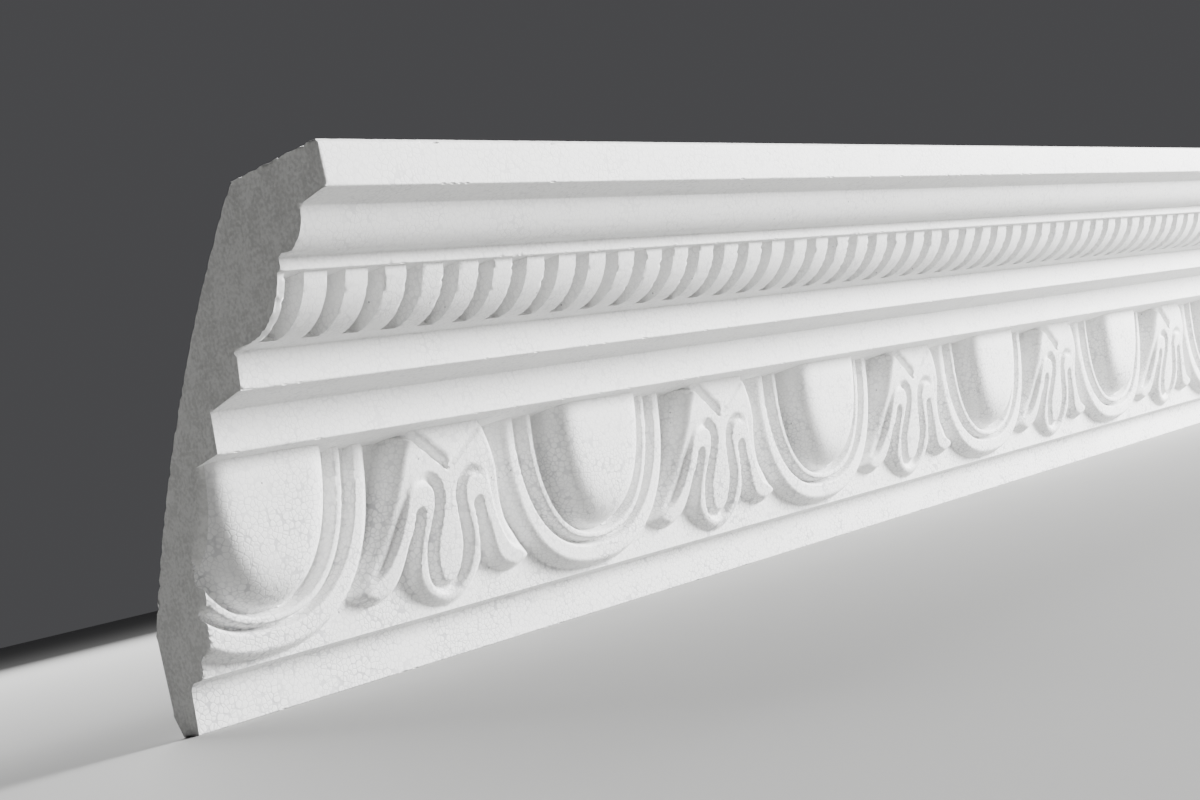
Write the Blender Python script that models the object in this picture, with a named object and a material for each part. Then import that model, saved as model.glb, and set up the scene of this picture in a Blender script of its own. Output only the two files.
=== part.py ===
"""Cornice moulding section in expanded polystyrene.

One length of a moulded ceiling cornice: a foot fillet, a band of eggs and leaves,
two plain fascias, a fluted strip, an ovolo and a crown fascia. It is one piece, shown
as it hangs in a room: the wall face looks along +Y, the ceiling face along +Z, and the
length runs along X. The origin is the middle of the wall face.
"""
import math

import bmesh
import bpy
import numpy as np

MM = 0.001

# Sizes in millimetres, from the foot up. A run is how far a member steps forward,
# a rise or height is how far it climbs, and a lean is how far its top overhangs.
LENGTH = 700.0
FOOT_THICKNESS = 9.5
FOOT_HEIGHT = 12.5
FOOT_LEAN = 1.4
LEDGE_RUN = 6.0
LEDGE_RISE = 1.4
BAND_HEIGHT = 50.7
BAND_LEAN = 8.3
LOWER_SOFFIT_RUN = 18.1
LOWER_SOFFIT_RISE = 2.2
LOWER_FASCIA_HEIGHT = 10.6
LOWER_FASCIA_LEAN = 0.9
MIDDLE_SOFFIT_RUN = 14.0
MIDDLE_SOFFIT_RISE = 2.4
MIDDLE_FASCIA_HEIGHT = 9.3
MIDDLE_FASCIA_LEAN = 0.3
FLUTE_SEAT_RUN = 7.2
FLUTE_SEAT_RISE = 0.5
FLUTE_STRIP_RUN = 15.2
FLUTE_STRIP_HEIGHT = 13.0
FLUTE_STRIP_BULGE = 3.2
FILLET_RUN = 1.7
FILLET_HEIGHT = 3.3
OVOLO_SEAT_RUN = 4.7
OVOLO_RUN = 6.7
OVOLO_HEIGHT = 9.0
OVOLO_BULGE = 1.8
CROWN_SOFFIT_RUN = 10.0
CROWN_SOFFIT_RISE = 1.4
CROWN_HEIGHT = 11.0
CROWN_LEAN = 0.9
CROWN_EDGE = 1.0
CEILING_FACE_WIDTH = 32.5
WALL_FACE_HEIGHT = 21.3
HEEL_HEIGHT = 5.7
HEEL_WIDTH = 2.7
BACK_BULGE = 5.6

# The band of eggs and leaves, in millimetres. A half-width is taken at the top of the
# band and a foot is the lowest point of a curve above the bottom of the band.
EGG_PITCH = 130.0
EGG_OFFSET = 19.5
EGG_HALF_WIDTH = 21.6
EGG_FOOT = 13.2
EGG_HEIGHT = 12.3
EGG_FULLNESS = 9.0
INNER_RING_HALF_WIDTH = 29.6
INNER_RING_FOOT = 9.4
INNER_RING_WIDTH = 4.6
INNER_RING_FOOT_WIDTH = 3.8
INNER_RING_HEIGHT = 5.4
INNER_RING_FLANKS = (1.4, 1.2, 1.4)
OUTER_RING_HALF_WIDTH = 41.0
OUTER_RING_FOOT = 1.2
OUTER_RING_WIDTH = 8.8
OUTER_RING_FOOT_WIDTH = 8.2
OUTER_RING_HEIGHT = 4.7
OUTER_RING_FLANKS = (1.6, 2.6, 5.4)
CURVE_FULLNESS = 2.4
RING_GROOVE = 1.5
RING_BLEND = 0.3
EGG_BLEND = 0.5

# The leaf between two eggs, x from its middle and level above the band's foot. Each
# groove point is x, level, half-width and depth.
LEAF_FOOT_HEIGHT = 1.6
LEAF_TOP_HEIGHT = 9.4
LEAF_SWELL = 1.7
LEAF_FOOT_SHOULDER = 4.6
LEAF_TOP_SHOULDER = 6.6
LOBE_SHOULDERS = (2.4, 5.4)
LEAF_SIDE = ((0.0, 41.0), (8.0, 39.5), (11.6, 36.4), (17.6, 32.4), (23.6, 28.4), (31.1, 25.6), (38.6, 23.7),
             (46.0, 21.3), (52.0, 18.5))
LOBE_EDGE = ((12.0, 19.0), (14.6, 16.4), (16.5, 13.0), (18.8, 10.0), (21.8, 8.0), (26.9, 6.8), (31.5, 7.6),
             (36.0, 9.6), (40.0, 12.0))
CURL_HALF_WIDTH = 15.9
CURL_LEVEL = 17.0
CURL_FOOT = 1.5
CURL_SHOULDERS = (2.4, 4.4)
CURL_GROOVE = ((13.4, 36.2, 1.6, 0.0), (10.8, 37.4, 1.8, 0.9), (7.8, 37.5, 2.0, 1.9), (5.4, 35.9, 2.1, 2.7),
               (4.3, 33.2, 2.1, 3.1), (4.3, 30.2, 2.1, 3.2), (5.5, 25.3, 2.3, 3.1), (6.9, 20.4, 2.5, 3.1),
               (7.1, 16.6, 2.5, 3.0), (5.9, 11.2, 2.4, 2.7), (3.4, 7.9, 2.1, 2.1), (0.0, 6.8, 2.0, 1.6))
EYE_GROOVE = ((11.5, 28.5, 2.1, 5.2), (11.8, 27.0, 2.1, 4.8), (12.5, 24.6, 2.1, 4.4), (13.5, 20.8, 2.3, 4.4),
              (14.3, 17.0, 2.6, 4.4), (15.2, 13.0, 3.0, 4.0))
LEG_STEP = ((6.0, 42.0, 0.0), (11.0, 33.5, 0.9), (14.6, 26.2, 1.9), (18.6, 22.6, 2.2), (23.2, 19.9, 2.2),
            (27.6, 18.1, 1.9), (32.0, 16.6, 1.2), (36.5, 15.2, 0.3), (40.0, 14.4, 0.0))
LEG_STEP_WIDTH = 1.5
BRACT_APEX = 41.4
BRACT_HALF_WIDTH = 12.6
BRACT_RISE = 0.4
SLIT_HALF_WIDTH = 1.35
SLIT_DEPTH = 3.0
SLIT_FADE = 0.2
BODY_BLEND = 0.3
GROOVE_SHARPNESS = 1.5

# The fluted strip: slots cut level between ribs. The floor of a slot slopes back from the
# strip's foot for the height of the scoop, then rises and leans forward to its top.
FLUTE_PITCH = 12.7
FLUTE_OFFSET = 4.95
SLOT_WIDTH = 5.4
SLOT_WALL = 0.3
SLOT_SCOOP_RUN = 4.0
SLOT_SCOOP_HEIGHT = 2.6
SLOT_FLOOR_RUN = 9.0

# How finely the surface is laid out before it is thinned to the triangles kept.
BAND_ROWS = 38
FLUTE_ROWS = 12
OVOLO_ROWS = 5
BACK_ROWS = 8
SLOT_COLUMNS = 4
RIB_COLUMNS = 7
KEPT_TRIANGLES = 9400

FOAM_WHITE = (0.86, 0.86, 0.85, 1.0)
FOAM_ROUGHNESS = 0.75


def clear_scene():
    for old in list(bpy.data.objects):
        bpy.data.objects.remove(old, do_unlink=True)


def foam():
    material = bpy.data.materials.new("expanded_polystyrene")
    material.use_nodes = True
    shader = material.node_tree.nodes["Principled BSDF"]
    shader.inputs["Base Color"].default_value = FOAM_WHITE
    shader.inputs["Roughness"].default_value = FOAM_ROUGHNESS
    shader.inputs["Metallic"].default_value = 0.0
    return material


def superellipse(x, level, half_width, foot, fullness):
    """1 on a U-shaped curve that opens upwards, less inside it and more outside."""
    across = np.abs(x) / half_width
    down = np.clip(BAND_HEIGHT - level, 0.0, None) / (BAND_HEIGHT - foot)
    return (across ** fullness + down ** fullness) ** (1.0 / fullness)


def ring(x, level, half_width, foot, width, foot_width, height, flanks):
    """The height of a rounded ring that follows a U-shaped curve, 0 outside its edges.

    The flanks are how far in from its inner edge, from its outer edge at the foot, and
    from its outer edge at the top the ring rises to its full height.
    """
    outer = superellipse(x, level, half_width, foot, CURVE_FULLNESS)
    inner = superellipse(x, level, half_width - width, foot + foot_width, CURVE_FULLNESS)
    past_inner = np.clip(inner - 1.0, 0.0, None)
    short_of_outer = np.clip(1.0 - outer, 0.0, None)
    share = past_inner / (past_inner + short_of_outer + 1e-9)
    up = np.clip((level - foot) / (BAND_HEIGHT - foot), 0.0, 1.0)
    across = foot_width + (width - foot_width) * up
    inner_flank, foot_flank, top_flank = flanks
    outer_flank = foot_flank + (top_flank - foot_flank) * up
    rise = shoulder(share * across, inner_flank) * shoulder((1.0 - share) * across, outer_flank)
    return np.where((past_inner > 0.0) & (short_of_outer > 0.0), height * rise, 0.0)


def shoulder(inside, reach):
    """0 at an edge, rising steeply and rounding to 1 once it is far enough inside."""
    return np.sin(np.clip(inside / reach, 0.0, 1.0) * math.pi / 2)


def soft_max(first, second, blend):
    """The greater of two heights, with the corner between them filled."""
    mix = np.clip(0.5 + 0.5 * (first - second) / blend, 0.0, 1.0)
    return second * (1.0 - mix) + first * mix + blend * mix * (1.0 - mix)


def smooth_path(points, steps=4):
    """A Catmull-Rom curve through the points, each with any number of values."""
    points = np.array(points, dtype=float)
    ends = np.vstack([2 * points[0] - points[1], points, 2 * points[-1] - points[-2]])
    path = []
    for index in range(1, len(ends) - 2):
        before, start, end, after = ends[index - 1:index + 3]
        for step in range(steps):
            t = step / steps
            path.append(0.5 * (2 * start + (end - before) * t
                               + (2 * before - 5 * start + 4 * end - after) * t ** 2
                               + (3 * start - before - 3 * end + after) * t ** 3))
    path.append(points[-1])
    return np.array(path)


def along_curve(place, points):
    """The value and the slope of a smooth curve through points at the given places."""
    path = smooth_path(points)
    value = np.interp(place, path[:, 0], path[:, 1])
    beyond = np.interp(place + 1.0, path[:, 0], path[:, 1])
    short = np.interp(place - 1.0, path[:, 0], path[:, 1])
    return value, (beyond - short) / 2


def joined(first, second):
    """Two heights as one surface, with the valley between them filled and flat ground left flat."""
    return (np.maximum(first, 0.0) ** 3 + np.maximum(second, 0.0) ** 3) ** (1 / 3)


def groove(x, level, points):
    """How deep a groove with soft edges is cut along a path."""
    path = smooth_path(points)
    depth = np.zeros(x.shape)
    for start, end in zip(path[:-1], path[1:]):
        along = end[:2] - start[:2]
        t = ((x - start[0]) * along[0] + (level - start[1]) * along[1]) / (along @ along)
        t = np.clip(t, 0.0, 1.0)
        away = np.hypot(x - start[0] - t * along[0], level - start[1] - t * along[1])
        width = start[2] + (end[2] - start[2]) * t
        floor = start[3] + (end[3] - start[3]) * t
        soft = np.cos(np.clip(away / width, 0.0, 1.0) * math.pi / 2) ** GROOVE_SHARPNESS
        depth = np.maximum(depth, floor * soft)
    return depth


def leaf_height(x, level):
    """The height of the leaf over the ground of the band, x from the leaf's middle."""
    slit_depth = SLIT_DEPTH * np.where(x < 0.0, 1.0, SLIT_FADE)
    x = np.abs(x)
    up = np.clip(level / BAND_HEIGHT, 0.0, 1.0)
    crest = LEAF_FOOT_HEIGHT + (LEAF_TOP_HEIGHT - LEAF_FOOT_HEIGHT) * (1.0 - (1.0 - up) ** LEAF_SWELL)
    side_x, side_slope = along_curve(level, LEAF_SIDE)
    reach = LEAF_FOOT_SHOULDER + (LEAF_TOP_SHOULDER - LEAF_FOOT_SHOULDER) * up
    from_side = (side_x - x) / np.hypot(1.0, side_slope) / reach
    edge_level, edge_slope = along_curve(x, LOBE_EDGE)
    steepness = np.abs(edge_slope) / np.hypot(1.0, edge_slope)
    reach = LOBE_SHOULDERS[0] + (LOBE_SHOULDERS[1] - LOBE_SHOULDERS[0]) * steepness
    from_edge = (level - edge_level) / np.hypot(1.0, edge_slope) / reach
    body = -soft_max(-from_side, -from_edge, BODY_BLEND)
    down = np.clip(CURL_LEVEL - level, 0.0, None) / (CURL_LEVEL - CURL_FOOT)
    sideways = np.clip(x / CURL_HALF_WIDTH, 0.0, 1.0)
    reach = CURL_SHOULDERS[0] + (CURL_SHOULDERS[1] - CURL_SHOULDERS[0]) * sideways
    curl = (1.0 - np.hypot(x / CURL_HALF_WIDTH, down)) * (CURL_LEVEL - CURL_FOOT) / reach
    rise = np.maximum(shoulder(body, 1.0), shoulder(curl, 1.0))
    leaf = crest * rise
    leaf = leaf - groove(x, level, CURL_GROOVE) - groove(x, level, EYE_GROOVE)
    step_x, step_slope = along_curve(level, LEG_STEP)
    outward = (x - step_x) / np.hypot(1.0, step_slope) / LEG_STEP_WIDTH
    past_step = np.clip(0.5 + outward, 0.0, 1.0)
    past_step = past_step * past_step * (3.0 - 2.0 * past_step)
    step_levels, _, step_depths = np.array(LEG_STEP).T
    leaf = leaf - np.interp(level, step_levels, step_depths) * past_step
    steep = (BAND_HEIGHT - BRACT_APEX) / BRACT_HALF_WIDTH
    past = ((level - BRACT_APEX) - x * steep) / math.hypot(1.0, steep)
    across = np.clip(np.abs(past + SLIT_HALF_WIDTH) / SLIT_HALF_WIDTH, 0.0, 1.0)
    begun = np.clip((level - BRACT_APEX + 2.0 * SLIT_HALF_WIDTH) / SLIT_HALF_WIDTH, 0.0, 1.0)
    slit = slit_depth * np.cos(across * math.pi / 2) * begun
    lift = BRACT_RISE * np.clip(past / SLIT_HALF_WIDTH, 0.0, 1.0)
    return np.maximum(leaf + (lift - slit) * np.clip(rise, 0.0, 1.0), 0.0)


def band_height(x, level):
    """The height of the carving over the ground of the band, x along the length."""
    from_egg = (x - EGG_OFFSET + EGG_PITCH / 2) % EGG_PITCH - EGG_PITCH / 2
    from_leaf = (x - EGG_OFFSET) % EGG_PITCH - EGG_PITCH / 2
    outer = ring(from_egg, level, OUTER_RING_HALF_WIDTH, OUTER_RING_FOOT, OUTER_RING_WIDTH,
                 OUTER_RING_FOOT_WIDTH, OUTER_RING_HEIGHT, OUTER_RING_FLANKS)
    inner = ring(from_egg, level, INNER_RING_HALF_WIDTH, INNER_RING_FOOT, INNER_RING_WIDTH,
                 INNER_RING_FOOT_WIDTH, INNER_RING_HEIGHT, INNER_RING_FLANKS)
    middle = superellipse(from_egg, level, OUTER_RING_HALF_WIDTH - OUTER_RING_WIDTH / 2,
                          OUTER_RING_FOOT + OUTER_RING_FOOT_WIDTH / 2, CURVE_FULLNESS)
    ground = np.where(middle < 1.0, RING_GROOVE, 0.0)
    egg_reach = superellipse(from_egg, level, EGG_HALF_WIDTH, EGG_FOOT, CURVE_FULLNESS)
    egg = np.where(egg_reach < 1.0, (EGG_HEIGHT - RING_GROOVE) * (1.0 - egg_reach ** EGG_FULLNESS), -1.0)
    egg = egg + RING_GROOVE
    outside = soft_max(ground, outer, RING_BLEND)
    rings = soft_max(outside, soft_max(inner, egg, RING_BLEND), EGG_BLEND)
    return np.where(middle < 1.0, rings, joined(outer, leaf_height(from_leaf, level)))


def arc(start, end, bulge, steps):
    """Points along a circular arc between two points, bulging to the right of the chord."""
    chord = math.hypot(end[0] - start[0], end[1] - start[1])
    radius = (chord ** 2 / 4 + bulge ** 2) / (2 * bulge)
    half_angle = math.asin(chord / 2 / radius)
    right = ((end[1] - start[1]) / chord, -(end[0] - start[0]) / chord)
    along = ((end[0] - start[0]) / chord, (end[1] - start[1]) / chord)
    middle = ((start[0] + end[0]) / 2, (start[1] + end[1]) / 2)
    points = []
    for step in range(steps + 1):
        angle = -half_angle + 2 * half_angle * step / steps
        across = radius * math.cos(angle) - (radius - bulge)
        forward = radius * math.sin(angle)
        points.append((middle[0] + right[0] * across + along[0] * forward,
                       middle[1] + right[1] * across + along[1] * forward))
    return points


def section():
    """The outline of a cut across the moulding, from the foot's front edge round.

    Each row is its reach from the wall, its level above the foot, and its place in the
    carved band and in the fluted strip, from 0 to 1, or None outside them.
    """
    rows = []
    here = [FOOT_THICKNESS, 0.0]

    def go(run, rise):
        here[0] += run
        here[1] += rise
        rows.append((here[0], here[1], None, None))

    go(0.0, 0.0)
    go(FOOT_LEAN, FOOT_HEIGHT)
    rows.append((here[0] + LEDGE_RUN, here[1] + LEDGE_RISE, 0.0, None))
    here[0] += LEDGE_RUN
    here[1] += LEDGE_RISE
    for row in range(1, BAND_ROWS + 1):
        part = row / BAND_ROWS
        rows.append((here[0] + BAND_LEAN * part, here[1] + BAND_HEIGHT * part, part, None))
    here[0] += BAND_LEAN
    here[1] += BAND_HEIGHT
    go(LOWER_SOFFIT_RUN, LOWER_SOFFIT_RISE)
    go(LOWER_FASCIA_LEAN, LOWER_FASCIA_HEIGHT)
    go(MIDDLE_SOFFIT_RUN, MIDDLE_SOFFIT_RISE)
    go(MIDDLE_FASCIA_LEAN, MIDDLE_FASCIA_HEIGHT)
    strip_foot = (here[0] + FLUTE_SEAT_RUN, here[1] + FLUTE_SEAT_RISE)
    strip_top = (strip_foot[0] + FLUTE_STRIP_RUN, strip_foot[1] + FLUTE_STRIP_HEIGHT)
    for row, (reach, level) in enumerate(arc(strip_foot, strip_top, FLUTE_STRIP_BULGE, FLUTE_ROWS)):
        rows.append((reach, level, None, row / FLUTE_ROWS))
    here[:] = strip_top
    go(FILLET_RUN, 0.0)
    go(0.0, FILLET_HEIGHT)
    ovolo_foot = (here[0] + OVOLO_SEAT_RUN, here[1])
    ovolo_top = (ovolo_foot[0] + OVOLO_RUN, ovolo_foot[1] + OVOLO_HEIGHT)
    ovolo = arc(ovolo_foot, ovolo_top, OVOLO_BULGE, OVOLO_ROWS)
    rows.extend((reach, level, None, None) for reach, level in ovolo)
    here[:] = ovolo_top
    go(CROWN_SOFFIT_RUN, CROWN_SOFFIT_RISE)
    go(CROWN_LEAN, CROWN_HEIGHT - CROWN_EDGE)
    go(-CROWN_EDGE, CROWN_EDGE)
    go(-CEILING_FACE_WIDTH, 0.0)
    ceiling_back = tuple(here)
    wall_top = (0.0, HEEL_HEIGHT + WALL_FACE_HEIGHT)
    back = arc(ceiling_back, wall_top, BACK_BULGE, BACK_ROWS)
    rows.extend((reach, level, None, None) for reach, level in back[1:])
    rows.append((0.0, HEEL_HEIGHT, None, None))
    rows.append((HEEL_WIDTH, 0.0, None, None))
    rows.append(rows[0])
    return rows


def flute_columns():
    """Places along the length that fall on the slots' walls and between them."""
    half = SLOT_WIDTH / 2
    wall = SLOT_WALL / 2
    slot = np.linspace(-half + wall, half - wall, SLOT_COLUMNS + 1)
    rib = np.linspace(half + wall, FLUTE_PITCH - half - wall, RIB_COLUMNS)
    pattern = np.concatenate([slot, rib])
    count = int(LENGTH / FLUTE_PITCH) + 2
    places = np.concatenate([FLUTE_OFFSET + FLUTE_PITCH * turn + pattern for turn in range(-1, count)])
    inside = places[(places > SLOT_WALL) & (places < LENGTH - SLOT_WALL)]
    return np.concatenate([[0.0], inside, [LENGTH]])


def slot_depth(x, part):
    """How far back the slots are cut at places along the length, part of the way up the strip."""
    strip = arc((0.0, 0.0), (FLUTE_STRIP_RUN, FLUTE_STRIP_HEIGHT), FLUTE_STRIP_BULGE, FLUTE_ROWS)
    run, rise = strip[round(part * FLUTE_ROWS)]
    scoop = SLOT_SCOOP_RUN * shoulder(rise, SLOT_SCOOP_HEIGHT)
    from_slot = (x - FLUTE_OFFSET + FLUTE_PITCH / 2) % FLUTE_PITCH - FLUTE_PITCH / 2
    inside = np.clip((SLOT_WIDTH / 2 - np.abs(from_slot)) / SLOT_WALL + 0.5, 0.0, 1.0)
    return inside * (run + scoop - SLOT_FLOOR_RUN * part ** 2)


def surface():
    """The places of the whole skin, one row of them for each row of the section."""
    rows = section()
    flute_x = flute_columns()
    even_x = np.linspace(0.0, LENGTH, len(flute_x))
    soffit = LOWER_SOFFIT_RISE / LOWER_SOFFIT_RUN
    wall_centre = HEEL_HEIGHT + WALL_FACE_HEIGHT / 2
    places = []
    for reach, level, band, flute in rows:
        x = even_x if flute is None else flute_x
        forward = np.zeros(len(x))
        upward = np.zeros(len(x))
        if band is not None:
            forward = band_height(x, np.full(len(x), band * BAND_HEIGHT))
            upward = forward * (soffit * band - BAND_LEAN / BAND_HEIGHT * (1.0 - band))
        if flute is not None:
            forward = -slot_depth(x, flute)
        places.append(np.column_stack([x - LENGTH / 2, -(reach + forward), level + upward - wall_centre]))
    return np.array(places) * MM


def cornice(collection):
    places = surface()
    rows, columns, _ = places.shape
    mesh = bpy.data.meshes.new("cornice_moulding")
    skin = bmesh.new()
    bmesh.ops.create_grid(skin, x_segments=columns - 1, y_segments=rows - 1, size=1.0)
    for vert in skin.verts:
        column = round((vert.co.x + 1.0) / 2.0 * (columns - 1))
        row = round((vert.co.y + 1.0) / 2.0 * (rows - 1))
        vert.co = places[row, column]
    bmesh.ops.remove_doubles(skin, verts=skin.verts, dist=1e-6)
    rims = [edge for edge in skin.edges if edge.is_boundary]
    bmesh.ops.holes_fill(skin, edges=rims, sides=0)
    bmesh.ops.recalc_face_normals(skin, faces=skin.faces)
    triangles = sum(len(face.verts) - 2 for face in skin.faces)
    skin.to_mesh(mesh)
    skin.free()
    piece = bpy.data.objects.new("cornice_moulding", mesh)
    collection.objects.link(piece)
    mesh.materials.append(foam())
    thin = piece.modifiers.new("thin", "DECIMATE")
    thin.decimate_type = "COLLAPSE"
    thin.ratio = KEPT_TRIANGLES / triangles
    thin.use_collapse_triangulate = True
    return piece


def main():
    clear_scene()
    collection = bpy.data.collections.new("cornice_moulding_section")
    bpy.context.scene.collection.children.link(collection)
    cornice(collection)


main()
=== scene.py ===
"""Looks of a cornice moulding section in white expanded polystyrene.

The moulding is one piece of moulded bead foam, cut square with a saw at both ends. This
file carves its skin finely, closes it with the two sawn ends, gives the foam its
finishes and sets the floor, the lights and the camera.
"""
import math

import bmesh
import bpy
import numpy as np
from mathutils import Matrix, Vector


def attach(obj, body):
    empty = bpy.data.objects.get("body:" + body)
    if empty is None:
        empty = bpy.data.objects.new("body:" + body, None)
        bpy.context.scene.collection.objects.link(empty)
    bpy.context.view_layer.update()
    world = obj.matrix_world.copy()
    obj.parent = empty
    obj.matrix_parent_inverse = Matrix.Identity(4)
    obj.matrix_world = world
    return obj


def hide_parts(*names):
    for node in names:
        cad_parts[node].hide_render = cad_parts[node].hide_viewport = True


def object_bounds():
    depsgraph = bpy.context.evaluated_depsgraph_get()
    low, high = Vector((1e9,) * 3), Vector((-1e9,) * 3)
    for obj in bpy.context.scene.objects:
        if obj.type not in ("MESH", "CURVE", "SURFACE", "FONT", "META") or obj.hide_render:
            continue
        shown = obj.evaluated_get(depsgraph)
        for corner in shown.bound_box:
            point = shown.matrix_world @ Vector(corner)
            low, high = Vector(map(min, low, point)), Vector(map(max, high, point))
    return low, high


bl_info = {
    "name": "Cornice moulding section",
    "version": (1, 0, 0),
    "blender": (4, 5, 0),
    "location": "3D View > Sidebar > Cornice",
    "description": "A length of egg and leaf ceiling cornice in expanded polystyrene",
    "category": "Object",
}

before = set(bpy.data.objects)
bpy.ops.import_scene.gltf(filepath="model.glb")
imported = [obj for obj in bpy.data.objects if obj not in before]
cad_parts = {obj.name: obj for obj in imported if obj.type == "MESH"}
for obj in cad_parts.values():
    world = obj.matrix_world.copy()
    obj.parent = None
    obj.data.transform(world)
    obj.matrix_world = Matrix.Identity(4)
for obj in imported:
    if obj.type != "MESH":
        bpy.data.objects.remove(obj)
CAD_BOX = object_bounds()

MM = 0.001
PIECE = "cornice_moulding"

# Sizes in millimetres, from the foot up. A run is how far a member steps forward,
# a rise or height is how far it climbs, and a lean is how far its top overhangs.
LENGTH = 700.0
FOOT_THICKNESS = 9.5
FOOT_HEIGHT = 12.5
FOOT_LEAN = 1.4
LEDGE_RUN = 6.0
LEDGE_RISE = 1.4
BAND_HEIGHT = 50.7
BAND_LEAN = 8.3
LOWER_SOFFIT_RUN = 18.1
LOWER_SOFFIT_RISE = 2.2
LOWER_FASCIA_HEIGHT = 10.6
LOWER_FASCIA_LEAN = 0.9
MIDDLE_SOFFIT_RUN = 14.0
MIDDLE_SOFFIT_RISE = 2.4
MIDDLE_FASCIA_HEIGHT = 9.3
MIDDLE_FASCIA_LEAN = 0.3
FLUTE_SEAT_RUN = 7.2
FLUTE_SEAT_RISE = 0.5
FLUTE_STRIP_RUN = 15.2
FLUTE_STRIP_HEIGHT = 13.0
FLUTE_STRIP_BULGE = 3.2
FILLET_RUN = 1.7
FILLET_HEIGHT = 3.3
OVOLO_SEAT_RUN = 4.7
OVOLO_RUN = 6.7
OVOLO_HEIGHT = 9.0
OVOLO_BULGE = 1.8
CROWN_SOFFIT_RUN = 10.0
CROWN_SOFFIT_RISE = 1.4
CROWN_HEIGHT = 11.0
CROWN_LEAN = 0.9
CROWN_EDGE = 1.0
CEILING_FACE_WIDTH = 32.5
WALL_FACE_HEIGHT = 21.3
HEEL_HEIGHT = 5.7
HEEL_WIDTH = 2.7
BACK_BULGE = 5.6

# The band of eggs and leaves, in millimetres. A half-width is taken at the top of the
# band and a foot is the lowest point of a curve above the bottom of the band.
EGG_PITCH = 130.0
EGG_OFFSET = 19.5
EGG_HALF_WIDTH = 21.6
EGG_FOOT = 13.2
EGG_HEIGHT = 12.3
EGG_FULLNESS = 9.0
INNER_RING_HALF_WIDTH = 29.6
INNER_RING_FOOT = 9.4
INNER_RING_WIDTH = 4.6
INNER_RING_FOOT_WIDTH = 3.8
INNER_RING_HEIGHT = 5.4
INNER_RING_FLANKS = (1.4, 1.2, 1.4)
OUTER_RING_HALF_WIDTH = 41.0
OUTER_RING_FOOT = 1.2
OUTER_RING_WIDTH = 8.8
OUTER_RING_FOOT_WIDTH = 8.2
OUTER_RING_HEIGHT = 4.7
OUTER_RING_FLANKS = (1.6, 2.6, 5.4)
CURVE_FULLNESS = 2.4
RING_GROOVE = 1.5
RING_BLEND = 0.3
EGG_BLEND = 0.5

# The leaf between two eggs, x from its middle and level above the band's foot. Each
# groove point is x, level, half-width and depth.
LEAF_FOOT_HEIGHT = 1.6
LEAF_TOP_HEIGHT = 9.4
LEAF_SWELL = 1.7
LEAF_FOOT_SHOULDER = 4.6
LEAF_TOP_SHOULDER = 6.6
LOBE_SHOULDERS = (2.4, 5.4)
LEAF_SIDE = ((0.0, 41.0), (8.0, 39.5), (11.6, 36.4), (17.6, 32.4), (23.6, 28.4), (31.1, 25.6), (38.6, 23.7),
             (46.0, 21.3), (52.0, 18.5))
LOBE_EDGE = ((12.0, 19.0), (14.6, 16.4), (16.5, 13.0), (18.8, 10.0), (21.8, 8.0), (26.9, 6.8), (31.5, 7.6),
             (36.0, 9.6), (40.0, 12.0))
CURL_HALF_WIDTH = 15.9
CURL_LEVEL = 17.0
CURL_FOOT = 1.5
CURL_SHOULDERS = (2.4, 4.4)
CURL_GROOVE = ((13.4, 36.2, 1.6, 0.0), (10.8, 37.4, 1.8, 0.9), (7.8, 37.5, 2.0, 1.9), (5.4, 35.9, 2.1, 2.7),
               (4.3, 33.2, 2.1, 3.1), (4.3, 30.2, 2.1, 3.2), (5.5, 25.3, 2.3, 3.1), (6.9, 20.4, 2.5, 3.1),
               (7.1, 16.6, 2.5, 3.0), (5.9, 11.2, 2.4, 2.7), (3.4, 7.9, 2.1, 2.1), (0.0, 6.8, 2.0, 1.6))
EYE_GROOVE = ((11.5, 28.5, 2.1, 5.2), (11.8, 27.0, 2.1, 4.8), (12.5, 24.6, 2.1, 4.4), (13.5, 20.8, 2.3, 4.4),
              (14.3, 17.0, 2.6, 4.4), (15.2, 13.0, 3.0, 4.0))
LEG_STEP = ((6.0, 42.0, 0.0), (11.0, 33.5, 0.9), (14.6, 26.2, 1.9), (18.6, 22.6, 2.2), (23.2, 19.9, 2.2),
            (27.6, 18.1, 1.9), (32.0, 16.6, 1.2), (36.5, 15.2, 0.3), (40.0, 14.4, 0.0))
LEG_STEP_WIDTH = 1.5
BRACT_APEX = 41.4
BRACT_HALF_WIDTH = 12.6
BRACT_RISE = 0.4
SLIT_HALF_WIDTH = 1.35
SLIT_DEPTH = 3.0
SLIT_FADE = 0.2
BODY_BLEND = 0.3
GROOVE_SHARPNESS = 1.5

# The fluted strip: slots cut level between ribs. The floor of a slot slopes back from the
# strip's foot for the height of the scoop, then rises and leans forward to its top.
FLUTE_PITCH = 12.7
FLUTE_OFFSET = 4.95
SLOT_WIDTH = 5.4
SLOT_WALL = 0.3
SLOT_SCOOP_RUN = 4.0
SLOT_SCOOP_HEIGHT = 2.6
SLOT_FLOOR_RUN = 9.0

# How finely the skin is laid out before it is thinned to the triangles kept. A sawn end is
# laid out in cells, which stay clear of its rim by a share of a cell.
BAND_ROWS = 100
FLUTE_ROWS = 24
OVOLO_ROWS = 12
CEILING_ROWS = 22
BACK_ROWS = 80
SLOT_COLUMNS = 8
RIB_COLUMNS = 12
END_CELL = 0.9
RIM_CLEARANCE = 0.7
KEPT_TRIANGLES = 185000

# A row with this place in the fluted strip keeps the slots' columns but lies above them.
ABOVE_SLOTS = 2.0

# How close points are before they are made one, how near an end a facet lies and how
# squarely it faces that way when it is part of the sawn face, and the angle in degrees
# past which an edge stays sharp.
MERGE_DISTANCE = 0.02
RIM_TOLERANCE = 1.2
END_FACING = 0.5
SMOOTH_ANGLE = 60.0

# A length too small to see, which keeps a division from failing.
TINY = 1e-9

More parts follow.
